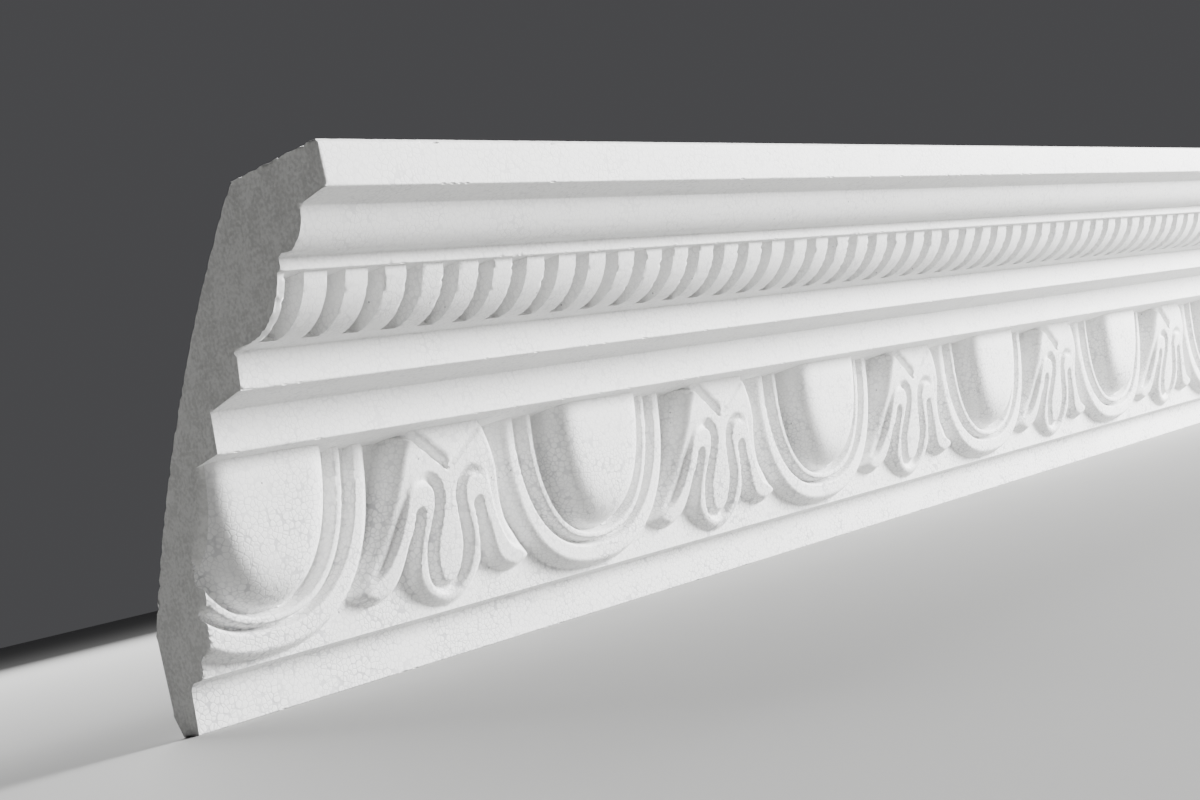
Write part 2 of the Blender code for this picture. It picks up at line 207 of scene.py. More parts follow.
# An arris is a turn sharper than this angle in degrees. It is rounded, and rows of the
# skin are kept beside it at two distances, where its face is some times wider than them.
ARRIS_TURN = 160.0
ARRIS_CUT = 0.3
ARRIS_ROUND = 0.35
ARRIS_GUARD = 1.3
ARRIS_ROOM = 2.2

# Crumbs lost along the arrises: how far apart, how wide and how deep the largest are, and
# the size of the smallest as a share of those.
CHIP_SPACING = 9.0
CHIP_WIDTH = 1.1
CHIP_DEPTH = 0.75
SMALLEST_CHIP = 0.25

# Crumbs lost round the rims of the sawn ends, with the shares of that at the rim and just
# inside it, and crumbs lost along the ribs of the fluted strip.
RIM_CRUMB = 1.0
RIM_CRUMB_SHARES = (1.0, 0.45)
RIB_CRUMB = 0.8
RIB_CRUMB_WIDTH = 0.7

# How far torn beads stand out of the sawn ends, and as shares of that how deep the middle
# level of the face lies and how far it goes up and down from there.
END_ROUGHNESS = 0.35
SAWN_SINK = 0.25
SAWN_SWING = 0.5

# The beads in the moulded skin: their width, and how far they are bent as a share of it.
BEAD_WIDTH = 1.55
BEAD_BEND = 0.35

# The seams between the beads, painted darker as the shade in their fine grooves: where they are darkest
# and where they end, in beads from their middle, how dark they are beside the gaps where three beads meet,
# and where a gap begins and is darkest, in beads from a bead's middle.
SEAM_REACH = (0.01, 0.15)
SEAM_STRENGTH = 0.7
GAP_REACH = (0.60, 0.80)

# The share of the seams that shows where they are faintest, the levels between which they
# fade to that, the width of the patches where they show more, and the share shown in the
# faintest of those.
SEAM_FAINTEST = 0.48
SEAM_FADE = (25.0, 55.0)
SEAM_PATCH = 14.0
PATCH_FAINTEST = 0.45

# How far apart pits can lie, the share that are open, and where a pit's painted shade is darkest and
# where it ends, as shares of that distance from its middle.
PIT_SPACING = 3.0
PIT_SHARE = 0.09
PIT_REACH = (0.04, 0.14)

# How deep the beads are pressed, and as shares of that how far one stands above the next
# and how deep a pit is.
BEAD_RELIEF = 0.14
BEAD_STAND = 0.2
PIT_DROP = 2.0

# The sawn foam: the width of a torn crumb and its share of the roughness beside wider
# lumps, the width of the saw's streaks, how many times longer they are and the share of
# the hollows' painted shade that is left on them, and how deep the face is torn.
CRUMB = 1.0
CRUMB_SHARE = 0.6
STREAK_WIDTH = 2.5
STREAK_STRETCH = 5.0
STREAK_LEAST = 0.75
TORN_RELIEF = 0.5

# In metres: the floor's radius, the lights' width, the point they look at and the ways
# from there to them. The floor is a disc of so many straight sides.
FLOOR_RADIUS = 30.0
FLOOR_SIDES = 96
LIGHT_SIZE = 0.8
LIGHT_AIM = Vector((-0.1, -0.05, 0.04))
KEY_WAY = Vector((1.42, -1.00, 0.50))
BACK_WAY = Vector((0.5, 1.4, 1.0))

# The camera's lens and the width of its picture in millimetres, its place and the nearest
# thing it sees in metres, and the ways that are right, up and ahead in its picture.
CAMERA_LENS = 50.0
CAMERA_WIDTH = 36.0
CAMERA_PLACE = Vector((-0.59255, -0.38115, 0.01755))
CAMERA_NEAREST = 0.01
CAMERA_AHEAD = Vector((0.7500, 0.6588, 0.0601)).normalized()
CAMERA_RIGHT = Vector((0.6524, -0.7216, -0.2317)).normalized()
CAMERA_UP = CAMERA_RIGHT.cross(CAMERA_AHEAD).normalized()


class CorniceSizes(bpy.types.PropertyGroup):
    """The sizes of the moulding's pattern that a user would change."""

    egg_height: bpy.props.FloatProperty(
        name="Egg height", description="How far an egg stands out of the band's ground",
        default=EGG_HEIGHT * MM, min=4.0 * MM, max=20.0 * MM, subtype="DISTANCE", unit="LENGTH")
    chip_depth: bpy.props.FloatProperty(
        name="Chip depth", description="How deep the largest lost crumbs are along the arrises",
        default=CHIP_DEPTH * MM, min=0.0, max=2.0 * MM, subtype="DISTANCE", unit="LENGTH")
    kept_triangles: bpy.props.IntProperty(
        name="Triangles kept", description="How many triangles the carved skin keeps",
        default=KEPT_TRIANGLES, min=20000, max=195000)
    end_roughness: bpy.props.FloatProperty(
        name="Sawn roughness", description="How far torn beads stand out of the sawn ends",
        default=END_ROUGHNESS * MM, min=0.0, max=1.0 * MM, subtype="DISTANCE", unit="LENGTH")


class FoamFinish(bpy.types.PropertyGroup):
    """The colours and the grain of the foam, with painted shade in its seams, pits and sawn hollows."""

    skin_colour: bpy.props.StringProperty(
        name="Skin", description="sRGB hex of the moulded skin", default="E9E9E8")
    # The bead seams are painted darker as the shade in the grooves between the beads.
    seam_shade_colour: bpy.props.StringProperty(
        name="Bead seams", description="sRGB hex of the seams between the beads", default="BCBCBE")
    # The open pits are painted grey as the shade inside those holes.
    pit_shade_colour: bpy.props.StringProperty(
        name="Pits", description="sRGB hex of the open pits between beads", default="8E8E90")
    # The sawn face is painted a little darker than the moulded skin, as the shade of its torn surface, over
    # the foam's own white.
    sawn_colour_and_shade: bpy.props.StringProperty(
        name="Sawn face", description="sRGB hex of the sawn ends", default="DCDCDA")
    # The hollows between torn beads are painted darker still as the shade in them.
    hollow_shade_colour: bpy.props.StringProperty(
        name="Sawn hollows", description="sRGB hex of the hollows between torn beads", default="C3C3C1")
    bead: bpy.props.FloatProperty(
        name="Bead", description="Width of one foam bead",
        default=BEAD_WIDTH * MM, min=0.5 * MM, max=6.0 * MM, subtype="DISTANCE", unit="LENGTH")


class StageSettings(bpy.types.PropertyGroup):
    """The floor, the lights and the camera."""

    floor_colour: bpy.props.StringProperty(
        name="Floor", description="sRGB hex of the floor", default="989897")
    room_colour: bpy.props.StringProperty(
        name="Room", description="sRGB hex of the room's light", default="4C4C4E")
    key_power: bpy.props.FloatProperty(
        name="Key light", description="Power of the light from the right", default=235.0, min=0.0,
        unit="POWER")
    back_power: bpy.props.FloatProperty(
        name="Back light", description="Power of the light behind the moulding", default=70.0, min=0.0,
        unit="POWER")


def from_middle(x, offset, pitch):
    """How far each place is from the middle of the nearest repeat of a pattern."""
    return (x - offset + pitch / 2) % pitch - pitch / 2


def superellipse(x, level, half_width, foot, fullness):
    """1 on a U-shaped curve that opens upwards, less inside it and more outside."""
    across = np.abs(x) / half_width
    down = np.clip(BAND_HEIGHT - level, 0.0, None) / (BAND_HEIGHT - foot)
    return (across ** fullness + down ** fullness) ** (1.0 / fullness)


def ring(x, level, half_width, foot, width, foot_width, height, flanks):
    """The height of a rounded ring that follows a U-shaped curve, 0 outside its edges.

    The flanks are how far in from its inner edge, from its outer edge at the foot, and
    from its outer edge at the top the ring rises to its full height.
    """
    outer = superellipse(x, level, half_width, foot, CURVE_FULLNESS)
    inner = superellipse(x, level, half_width - width, foot + foot_width, CURVE_FULLNESS)
    past_inner = np.clip(inner - 1.0, 0.0, None)
    short_of_outer = np.clip(1.0 - outer, 0.0, None)
    share = past_inner / (past_inner + short_of_outer + TINY)
    up = np.clip((level - foot) / (BAND_HEIGHT - foot), 0.0, 1.0)
    across = foot_width + (width - foot_width) * up
    inner_flank, foot_flank, top_flank = flanks
    outer_flank = foot_flank + (top_flank - foot_flank) * up
    rise = shoulder(share * across, inner_flank) * shoulder((1.0 - share) * across, outer_flank)
    return np.where((past_inner > 0.0) & (short_of_outer > 0.0), height * rise, 0.0)


def shoulder(inside, reach):
    """0 at an edge, rising steeply and rounding to 1 once it is far enough inside."""
    return np.sin(np.clip(inside / reach, 0.0, 1.0) * math.pi / 2)


def soft_max(first, second, blend):
    """The greater of two heights, with the corner between them filled."""
    mix = np.clip(0.5 + 0.5 * (first - second) / blend, 0.0, 1.0)
    return second * (1.0 - mix) + first * mix + blend * mix * (1.0 - mix)


def smooth_path(points, steps=4):
    """A smooth curve through the points, each with any number of values."""
    points = np.array(points, dtype=float)
    ends = np.vstack([2 * points[0] - points[1], points, 2 * points[-1] - points[-2]])
    path = []
    for index in range(1, len(ends) - 2):
        before, start, end, after = ends[index - 1:index + 3]
        for step in range(steps):
            t = step / steps
            path.append(0.5 * (2 * start + (end - before) * t
                               + (2 * before - 5 * start + 4 * end - after) * t ** 2
                               + (3 * start - before - 3 * end + after) * t ** 3))
    path.append(points[-1])
    return np.array(path)


def along_curve(place, points):
    """The value and the slope of a smooth curve through points at the given places."""
    path = smooth_path(points)
    value = np.interp(place, path[:, 0], path[:, 1])
    beyond = np.interp(place + 1.0, path[:, 0], path[:, 1])
    short = np.interp(place - 1.0, path[:, 0], path[:, 1])
    return value, (beyond - short) / 2


def joined(first, second):
    """Two heights as one surface, with the valley between them filled and flat ground left flat."""
    return (np.maximum(first, 0.0) ** 3 + np.maximum(second, 0.0) ** 3) ** (1 / 3)


def groove(x, level, points):
    """How deep a groove with soft edges is cut along a path."""
    path = smooth_path(points)
    depth = np.zeros(x.shape)
    for start, end in zip(path[:-1], path[1:]):
        along = end[:2] - start[:2]
        t = ((x - start[0]) * along[0] + (level - start[1]) * along[1]) / (along @ along)
        t = np.clip(t, 0.0, 1.0)
        away = np.hypot(x - start[0] - t * along[0], level - start[1] - t * along[1])
        width = start[2] + (end[2] - start[2]) * t
        floor = start[3] + (end[3] - start[3]) * t
        soft = np.cos(np.clip(away / width, 0.0, 1.0) * math.pi / 2) ** GROOVE_SHARPNESS
        depth = np.maximum(depth, floor * soft)
    return depth


def leaf_height(x, level):
    """The height of the leaf over the ground of the band, x from the leaf's middle."""
    slit_depth = SLIT_DEPTH * np.where(x < 0.0, 1.0, SLIT_FADE)
    x = np.abs(x)
    up = np.clip(level / BAND_HEIGHT, 0.0, 1.0)
    crest = LEAF_FOOT_HEIGHT + (LEAF_TOP_HEIGHT - LEAF_FOOT_HEIGHT) * (1.0 - (1.0 - up) ** LEAF_SWELL)
    # The body lies between the leaf's sides and above the edge of its lobes.
    side_x, side_slope = along_curve(level, LEAF_SIDE)
    reach = LEAF_FOOT_SHOULDER + (LEAF_TOP_SHOULDER - LEAF_FOOT_SHOULDER) * up
    from_side = (side_x - x) / np.hypot(1.0, side_slope) / reach
    edge_level, edge_slope = along_curve(x, LOBE_EDGE)
    steepness = np.abs(edge_slope) / np.hypot(1.0, edge_slope)
    reach = LOBE_SHOULDERS[0] + (LOBE_SHOULDERS[1] - LOBE_SHOULDERS[0]) * steepness
    from_edge = (level - edge_level) / np.hypot(1.0, edge_slope) / reach
    body = -soft_max(-from_side, -from_edge, BODY_BLEND)
    # The middle lobe ends in a round curl that hangs lower.
    down = np.clip(CURL_LEVEL - level, 0.0, None) / (CURL_LEVEL - CURL_FOOT)
    sideways = np.clip(x / CURL_HALF_WIDTH, 0.0, 1.0)
    reach = CURL_SHOULDERS[0] + (CURL_SHOULDERS[1] - CURL_SHOULDERS[0]) * sideways
    curl = (1.0 - np.hypot(x / CURL_HALF_WIDTH, down)) * (CURL_LEVEL - CURL_FOOT) / reach
    rise = np.maximum(shoulder(body, 1.0), shoulder(curl, 1.0))
    leaf = crest * rise
    leaf = leaf - groove(x, level, CURL_GROOVE) - groove(x, level, EYE_GROOVE)
    # Outside a line down each leg the leaf steps back.
    step_x, step_slope = along_curve(level, LEG_STEP)
    outward = (x - step_x) / np.hypot(1.0, step_slope) / LEG_STEP_WIDTH
    past_step = np.clip(0.5 + outward, 0.0, 1.0)
    past_step = past_step * past_step * (3.0 - 2.0 * past_step)
    step_levels, _, step_depths = np.array(LEG_STEP).T
    leaf = leaf - np.interp(level, step_levels, step_depths) * past_step
    # A slit runs under each side of the bract at the top, which stands a little proud.
    steep = (BAND_HEIGHT - BRACT_APEX) / BRACT_HALF_WIDTH
    past = ((level - BRACT_APEX) - x * steep) / math.hypot(1.0, steep)
    across = np.clip(np.abs(past + SLIT_HALF_WIDTH) / SLIT_HALF_WIDTH, 0.0, 1.0)
    begun = np.clip((level - BRACT_APEX + 2.0 * SLIT_HALF_WIDTH) / SLIT_HALF_WIDTH, 0.0, 1.0)
    slit = slit_depth * np.cos(across * math.pi / 2) * begun
    lift = BRACT_RISE * np.clip(past / SLIT_HALF_WIDTH, 0.0, 1.0)
    return np.maximum(leaf + (lift - slit) * np.clip(rise, 0.0, 1.0), 0.0)


def band_height(x, level, egg_height):
    """The height of the carving over the ground of the band, x along the length."""
    from_egg = from_middle(x, EGG_OFFSET, EGG_PITCH)
    from_leaf = (x - EGG_OFFSET) % EGG_PITCH - EGG_PITCH / 2
    outer = ring(from_egg, level, OUTER_RING_HALF_WIDTH, OUTER_RING_FOOT, OUTER_RING_WIDTH,
                 OUTER_RING_FOOT_WIDTH, OUTER_RING_HEIGHT, OUTER_RING_FLANKS)
    inner = ring(from_egg, level, INNER_RING_HALF_WIDTH, INNER_RING_FOOT, INNER_RING_WIDTH,
                 INNER_RING_FOOT_WIDTH, INNER_RING_HEIGHT, INNER_RING_FLANKS)
    middle = superellipse(from_egg, level, OUTER_RING_HALF_WIDTH - OUTER_RING_WIDTH / 2,
                          OUTER_RING_FOOT + OUTER_RING_FOOT_WIDTH / 2, CURVE_FULLNESS)
    ground = np.where(middle < 1.0, RING_GROOVE, 0.0)
    egg_reach = superellipse(from_egg, level, EGG_HALF_WIDTH, EGG_FOOT, CURVE_FULLNESS)
    rise = (egg_height - RING_GROOVE) * (1.0 - egg_reach ** EGG_FULLNESS)
    egg = RING_GROOVE + np.where(egg_reach < 1.0, rise, -1.0)
    outside = soft_max(ground, outer, RING_BLEND)
    rings = soft_max(outside, soft_max(inner, egg, RING_BLEND), EGG_BLEND)
    return np.where(middle < 1.0, rings, joined(outer, leaf_height(from_leaf, level)))


def arc(start, end, bulge, steps):
    """Points along a circular arc between two points, bulging to the right of the chord."""
    chord = math.hypot(end[0] - start[0], end[1] - start[1])
    radius = (chord ** 2 / 4 + bulge ** 2) / (2 * bulge)
    half_angle = math.asin(chord / 2 / radius)
    right = ((end[1] - start[1]) / chord, -(end[0] - start[0]) / chord)
    along = ((end[0] - start[0]) / chord, (end[1] - start[1]) / chord)
    middle = ((start[0] + end[0]) / 2, (start[1] + end[1]) / 2)
    points = []
    for step in range(steps + 1):
        angle = -half_angle + 2 * half_angle * step / steps
        across = radius * math.cos(angle) - (radius - bulge)
        forward = radius * math.sin(angle)
        points.append((middle[0] + right[0] * across + along[0] * forward,
                       middle[1] + right[1] * across + along[1] * forward))
    return points


def section():
    """The outline of a cut across the moulding, from the foot's front edge round.

    Each row is its reach from the wall, its level above the foot, and its place in the
    carved band and in the fluted strip, from 0 to 1, or None outside them.
    """
    rows = []
    here = [FOOT_THICKNESS, 0.0]

    def go(run, rise):
        here[0] += run
        here[1] += rise
        rows.append((here[0], here[1], None, None))

    go(0.0, 0.0)
    go(FOOT_LEAN, FOOT_HEIGHT)
    rows.append((here[0] + LEDGE_RUN, here[1] + LEDGE_RISE, 0.0, None))
    here[0] += LEDGE_RUN
    here[1] += LEDGE_RISE
    for row in range(1, BAND_ROWS + 1):
        part = row / BAND_ROWS
        rows.append((here[0] + BAND_LEAN * part, here[1] + BAND_HEIGHT * part, part, None))
    here[0] += BAND_LEAN
    here[1] += BAND_HEIGHT
    go(LOWER_SOFFIT_RUN, LOWER_SOFFIT_RISE)
    go(LOWER_FASCIA_LEAN, LOWER_FASCIA_HEIGHT)
    go(MIDDLE_SOFFIT_RUN, MIDDLE_SOFFIT_RISE)
    go(MIDDLE_FASCIA_LEAN, MIDDLE_FASCIA_HEIGHT)
    strip_foot = (here[0] + FLUTE_SEAT_RUN, here[1] + FLUTE_SEAT_RISE)
    strip_top = (strip_foot[0] + FLUTE_STRIP_RUN, strip_foot[1] + FLUTE_STRIP_HEIGHT)
    for row, (reach, level) in enumerate(arc(strip_foot, strip_top, FLUTE_STRIP_BULGE, FLUTE_ROWS)):
        rows.append((reach, level, None, row / FLUTE_ROWS))
    here[:] = strip_top
    rows.append((here[0] + FILLET_RUN, here[1], None, ABOVE_SLOTS))
    rows.append((here[0] + FILLET_RUN, here[1] + FILLET_HEIGHT, None, ABOVE_SLOTS))
    here[0] += FILLET_RUN
    here[1] += FILLET_HEIGHT
    ovolo_foot = (here[0] + OVOLO_SEAT_RUN, here[1])
    ovolo_top = (ovolo_foot[0] + OVOLO_RUN, ovolo_foot[1] + OVOLO_HEIGHT)
    ovolo = arc(ovolo_foot, ovolo_top, OVOLO_BULGE, OVOLO_ROWS)
    rows.extend((reach, level, None, None) for reach, level in ovolo)
    here[:] = ovolo_top
    go(CROWN_SOFFIT_RUN, CROWN_SOFFIT_RISE)
    go(CROWN_LEAN, CROWN_HEIGHT - CROWN_EDGE)
    go(-CROWN_EDGE, CROWN_EDGE)
    for _ in range(CEILING_ROWS):
        go(-CEILING_FACE_WIDTH / CEILING_ROWS, 0.0)
    ceiling_back = tuple(here)
    wall_top = (0.0, HEEL_HEIGHT + WALL_FACE_HEIGHT)
    back = arc(ceiling_back, wall_top, BACK_BULGE, BACK_ROWS)
    rows.extend((reach, level, None, None) for reach, level in back[1:])
    rows.append((0.0, HEEL_HEIGHT, None, None))
    rows.append((HEEL_WIDTH, 0.0, None, None))
    rows.append(rows[0])
    return rows


def flute_columns():
    """Places along the length that fall on the slots' walls and between them."""
    half = SLOT_WIDTH / 2
    wall = SLOT_WALL / 2
    slot = np.linspace(-half + wall, half - wall, SLOT_COLUMNS + 1)
    rib = np.linspace(half + wall, FLUTE_PITCH - half - wall, RIB_COLUMNS)
    pattern = np.concatenate([slot, rib])
    count = int(LENGTH / FLUTE_PITCH) + 2
    places = np.concatenate([FLUTE_OFFSET + FLUTE_PITCH * turn + pattern for turn in range(-1, count)])
    inside = places[(places > SLOT_WALL) & (places < LENGTH - SLOT_WALL)]
    return np.concatenate([[0.0], inside, [LENGTH]])


def slot_depth(x, part):
    """How far back the slots are cut at places along the length, part of the way up the strip."""
    strip = arc((0.0, 0.0), (FLUTE_STRIP_RUN, FLUTE_STRIP_HEIGHT), FLUTE_STRIP_BULGE, FLUTE_ROWS)
    run, rise = strip[round(part * FLUTE_ROWS)]
    scoop = SLOT_SCOOP_RUN * shoulder(rise, SLOT_SCOOP_HEIGHT)
    from_slot = from_middle(x, FLUTE_OFFSET, FLUTE_PITCH)
    inside = np.clip((SLOT_WIDTH / 2 - np.abs(from_slot)) / SLOT_WALL + 0.5, 0.0, 1.0)
    return inside * (run + scoop - SLOT_FLOOR_RUN * part ** 2)


def eased_section():
    """The section with its arrises rounded and rows kept close to each.

    Each row has one value more, the way into the foam where a crumb can be lost.
    """
    rows = section()[:-1]
    eased = []
    for index, row in enumerate(rows):
        before, after = rows[index - 1], rows[(index + 1) % len(rows)]
        here = np.array(row[:2])
        back, ahead = np.array(before[:2]) - here, np.array(after[:2]) - here
        back_length, ahead_length = np.linalg.norm(back), np.linalg.norm(ahead)
        back, ahead = back / back_length, ahead / ahead_length
        carved = row[2] not in (None, 0.0) or row[3] not in (None, 0.0, 1.0, ABOVE_SLOTS)
        if carved or back @ ahead < math.cos(math.radians(ARRIS_TURN)):
            eased.append((*row, None))
            continue
        inward = (back + ahead) / np.linalg.norm(back + ahead)
        turns_out = back[0] * ahead[1] - back[1] * ahead[0] < 0.0
        flags = [ABOVE_SLOTS if min(row[3] or 0.0, other[3] or 0.0) >= 1.0 else None
                 for other in (before, after)]
        for reach in (ARRIS_GUARD, ARRIS_ROUND):
            if back_length > ARRIS_ROOM * reach and row[3] != 1.0:
                eased.append((*(here + back * reach), None, flags[0], None))
        plain = row[2] is None and row[3] in (None, ABOVE_SLOTS)
        middle = here + (back + ahead) * ARRIS_ROUND * ARRIS_CUT
        eased.append((*(middle if plain else here), row[2], row[3], inward if plain and turns_out else None))
        for reach in (ARRIS_ROUND, ARRIS_GUARD):
            if ahead_length > ARRIS_ROOM * reach and row[2] is None and row[3] != 0.0:
                eased.append((*(here + ahead * reach), None, flags[1], None))
    return eased


def chips(x, seed, deepest):
    """How deep crumbs are lost along an edge, at uneven places along the length."""
    dice = np.random.default_rng(seed)
    count = int(LENGTH / CHIP_SPACING)
    depth = np.zeros(len(x))
    middles = dice.uniform(0.0, LENGTH, count)
    sizes = dice.uniform(SMALLEST_CHIP, 1.0, count) ** 2
    for middle, size in zip(middles, sizes):
        away = np.abs(x - middle) / (CHIP_WIDTH * (0.5 + 0.5 * size))
        depth = np.maximum(depth, deepest * size * np.sqrt(np.clip(1.0 - away ** 2, 0.0, 1.0)))
    return depth


def rib_crumbs(x, part):
    """How deep crumbs are lost along the edges of the ribs, part of the way up the strip."""
    from_slot = np.abs(from_middle(x, FLUTE_OFFSET, FLUTE_PITCH))
    at_edge = np.clip(1.0 - (from_slot - (SLOT_WIDTH + SLOT_WALL) / 2) / RIB_CRUMB_WIDTH, 0.0, 1.0)
    return RIB_CRUMB * at_edge * np.clip(torn(x * MM, part * FLUTE_STRIP_HEIGHT * MM), 0.0, None)


def skin_places(egg_height, chip_depth):
    """The places of the whole skin, one row of them for each row of the section."""
    rows = eased_section()
    flute_x = flute_columns()
    even_x = np.linspace(0.0, LENGTH, len(flute_x))
    soffit = LOWER_SOFFIT_RISE / LOWER_SOFFIT_RUN
    wall_centre = HEEL_HEIGHT + WALL_FACE_HEIGHT / 2
    places = []
    for index, (reach, level, band, flute, inward) in enumerate(rows):
        x = even_x if flute is None else flute_x
        forward = np.zeros(len(x))
        upward = np.zeros(len(x))
        if band is not None:
            forward = band_height(x, np.full(len(x), band * BAND_HEIGHT), egg_height)
            upward = forward * (soffit * band - BAND_LEAN / BAND_HEIGHT * (1.0 - band))
        if flute is not None and flute <= 1.0:
            forward = -np.maximum(slot_depth(x, flute), rib_crumbs(x, flute))
        if inward is not None:
            lost = chips(x, index, chip_depth)
            forward = forward + inward[0] * lost
            upward = upward + inward[1] * lost
        places.append(np.column_stack([x - LENGTH / 2, -(reach + forward), level + upward - wall_centre]))
    places = np.array(places) * MM
    # The rims of the two ends lose crumbs at different places, and so do the columns inside.
    for share, near, far in zip(RIM_CRUMB_SHARES, (0, 1), (-1, -2)):
        for column in (near, far):
            outline = places[:, column, 1:]
            along = np.roll(outline, -1, axis=0) - np.roll(outline, 1, axis=0)
            along = along / np.maximum(np.hypot(along[:, 0], along[:, 1]), TINY)[:, None]
            lost = RIM_CRUMB * MM * share * np.clip(torn(outline[:, 0], outline[:, 1] + column), 0.0, None)
            places[:, column, 1] += along[:, 1] * lost
            places[:, column, 2] -= along[:, 0] * lost
    return np.concatenate([places, places[:1]])


def node(tree, kind, links=(), **settings):
    """Adds a node, sets its properties and inputs, and links the given outputs to its inputs."""
    made = tree.nodes.new(kind)
    for name, value in settings.items():
        if name.startswith("in_"):
            key = name[3:]
            made.inputs[int(key) if key.isdigit() else key.replace("_", " ")].default_value = value
        else:
            setattr(made, name, value)
    for output, key in links:
        tree.links.new(output, made.inputs[key])
    return made


def ramp(tree, value, low, high, out_low=0.0, out_high=1.0, kind="SMOOTHSTEP"):
    """A value carried from one range to another, and held at its ends."""
    made = node(tree, "ShaderNodeMapRange", [(value, "Value")], interpolation_type=kind, in_From_Min=low,
                in_From_Max=high, in_To_Min=out_low, in_To_Max=out_high)
    return made.outputs["Result"]


def maths(tree, operation, first, second):
    """Two values, or a value and a number, added, multiplied or compared."""
    links = [(first, 0)]
    settings = {}
    if isinstance(second, float):
        settings["in_1"] = second
    else:
        links.append((second, 1))
    return node(tree, "ShaderNodeMath", links, operation=operation, **settings).outputs[0]


def blend(tree, amount, first, second):
    """A colour between two, each a colour or the output that gives one."""
    links = [(amount, "Factor")]
    settings = {}
    for key, colour in ((6, first), (7, second)):
        if isinstance(colour, tuple):
            settings[f"in_{key}"] = colour
        else:
            links.append((colour, key))
    return node(tree, "ShaderNodeMix", links, data_type="RGBA", **settings).outputs[2]


def linear(text):
    """An sRGB hex colour as linear red, green, blue and alpha."""
    parts = [int(text[at:at + 2], 16) / 255 for at in (0, 2, 4)]
    return (*((part / 12.92 if part <= 0.04045 else ((part + 0.055) / 1.055) ** 2.4) for part in parts), 1.0)


def moulded_foam(finish):
    """Expanded polystyrene as it comes from the mould: white beads pressed flat together."""
    material = bpy.data.materials.new("moulded_expanded_polystyrene")
    material.use_nodes = True
    tree = material.node_tree
    shader = tree.nodes["Principled BSDF"]
    place = node(tree, "ShaderNodeTexCoord").outputs["Object"]
    bead = finish.bead
    # The beads differ a little in shape, so the cells are bent by a slow noise.
    warp = node(tree, "ShaderNodeTexNoise", [(place, "Vector")], in_Scale=1 / (2 * bead))
    bend = node(tree, "ShaderNodeVectorMath", [(warp.outputs["Color"], 0)], operation="SCALE",
                in_Scale=BEAD_BEND * bead)
    bent = node(tree, "ShaderNodeVectorMath", [(place, 0), (bend.outputs[0], 1)], operation="ADD").outputs[0]
    # Each bead is a flattened dome, lowest where it meets its neighbours, and painted darker there as the
    # shade in the seam.
    beads = node(tree, "ShaderNodeTexVoronoi", [(bent, "Vector")], in_Scale=1 / bead)
    edges = node(tree, "ShaderNodeTexVoronoi", [(bent, "Vector")], feature="DISTANCE_TO_EDGE",
                 in_Scale=1 / bead)
    seam = ramp(tree, edges.outputs["Distance"], *SEAM_REACH, 1.0, 0.0)
    # The small gaps where three beads meet are painted darkest, as the shade in those holes.
    gap = ramp(tree, beads.outputs["Distance"], *GAP_REACH)
    seam = maths(tree, "MAXIMUM", maths(tree, "MULTIPLY", seam, SEAM_STRENGTH), gap)
    # The seams, with their painted shade and their relief, show most in the band and the foot, and in
    # patches.
    wide = node(tree, "ShaderNodeTexNoise", [(place, "Vector")], in_Scale=1 / (SEAM_PATCH * MM),
                in_Detail=2.0)
    patch = ramp(tree, wide.outputs["Fac"], 0.35, 0.65, PATCH_FAINTEST, 1.0)
    level = node(tree, "ShaderNodeSeparateXYZ", [(place, 0)]).outputs["Z"]
    low, high = SEAM_FADE
    shown = maths(tree, "MULTIPLY", patch, ramp(tree, level, low * MM, high * MM, 1.0, SEAM_FAINTEST))
    faint = maths(tree, "MULTIPLY", seam, shown)
    # Each bead stands a little higher or lower.
    tone = node(tree, "ShaderNodeSeparateColor", [(beads.outputs["Color"], 0)]).outputs[0]
    # A few beads leave an open pit between them, painted as a small grey dot of shade.
    pits = node(tree, "ShaderNodeTexVoronoi", [(place, "Vector")], in_Scale=1 / (PIT_SPACING * MM))
    pit = ramp(tree, pits.outputs["Distance"], *PIT_REACH, 1.0, 0.0)
    pick = node(tree, "ShaderNodeSeparateColor", [(pits.outputs["Color"], 0)]).outputs[1]
    pit = maths(tree, "MULTIPLY", pit, maths(tree, "GREATER_THAN", pick, 1.0 - PIT_SHARE))
    # The skin's colour is painted with the shade of the seams and of the open pits.
    white = blend(tree, faint, linear(finish.skin_colour), linear(finish.seam_shade_colour))
    white = blend(tree, pit, white, linear(finish.pit_shade_colour))
    tree.links.new(white, shader.inputs["Base Color"])
    # The relief of beads, seams and pits catches a raking light.
    height = maths(tree, "SUBTRACT", maths(tree, "MULTIPLY", tone, BEAD_STAND), faint)
    height = maths(tree, "SUBTRACT", height, maths(tree, "MULTIPLY", pit, PIT_DROP))
    bump = node(tree, "ShaderNodeBump", [(height, "Height")], in_Strength=0.5, in_Distance=BEAD_RELIEF * MM)
    tree.links.new(bump.outputs["Normal"], shader.inputs["Normal"])
    # The skin of the beads has a soft sheen.
    shader.inputs["Roughness"].default_value = 0.58
    shader.inputs["IOR"].default_value = 1.45
    shader.inputs["Specular IOR Level"].default_value = 0.4
    return material


